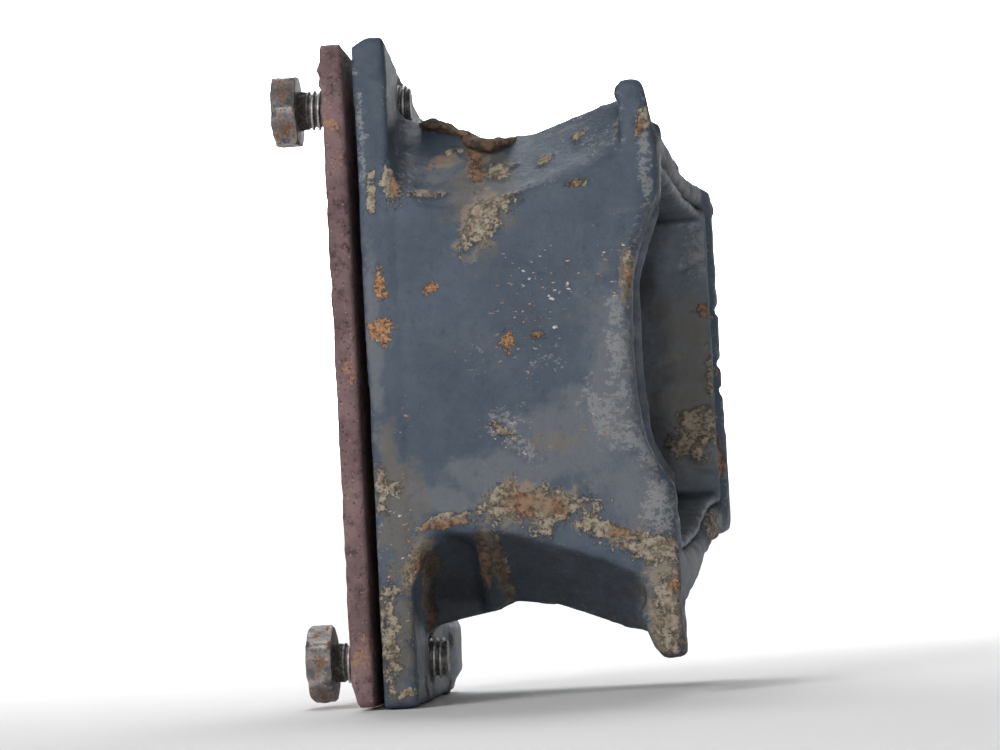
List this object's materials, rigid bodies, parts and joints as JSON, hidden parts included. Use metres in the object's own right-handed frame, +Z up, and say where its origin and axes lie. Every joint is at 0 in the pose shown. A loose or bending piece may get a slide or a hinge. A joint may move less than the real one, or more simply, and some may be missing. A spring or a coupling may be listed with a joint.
{
  "type": "bow saddle block",
  "caption": "Worn painted bow saddle block: waisted cast body with a rubber-lined open trough between cheeks, on an eared flange with a bolted clamp plate.",
  "frame": {"origin": "middle of the base flange's clamping face", "axes": "+X out of the flange towards the open mouth, +Z up along the flange's length, -Y the front cheek's side"},
  "size_m": [0.1051, 0.096, 0.1579],
  "materials": {
    "painted_casting": "worn blue-grey paint with rust and mineral crust",
    "black_rubber": "aged, scuffed",
    "rusty_plate": "evenly rusted red-brown",
    "bolt_steel": "tarnished with brown rust in the recesses"
  },
  "bodies": {
    "block": {"saddle_block": "painted_casting", "saddle_liner": "black_rubber"},
    "clamp": {"clamp_plate": "rusty_plate"},
    "upper_screw": {"upper_bolt": "bolt_steel"},
    "lower_screw": {"lower_bolt": "bolt_steel"}
  },
  "joints": [
    {"name": "clamp_travel", "type": "slide", "parent": "block", "child": "clamp", "axis": [1, 0, 0], "range_m": [-0.006, 0.002]},
    {"name": "upper_screw_turn", "type": "hinge", "parent": "clamp", "child": "upper_screw", "pos_m": [0, -0.014, 0.0674], "axis": [1, 0, 0], "range_deg": [-1441, 481]},
    {"name": "lower_screw_turn", "type": "hinge", "parent": "clamp", "child": "lower_screw", "pos_m": [0, -0.014, -0.0689], "axis": [1, 0, 0], "range_deg": [-1441, 481]}
  ],
  "couplings": [
    {"joint": "upper_screw_turn", "follows": "clamp_travel", "rad_per_m": 4188.8},
    {"joint": "lower_screw_turn", "follows": "clamp_travel", "rad_per_m": 4188.8}
  ]
}
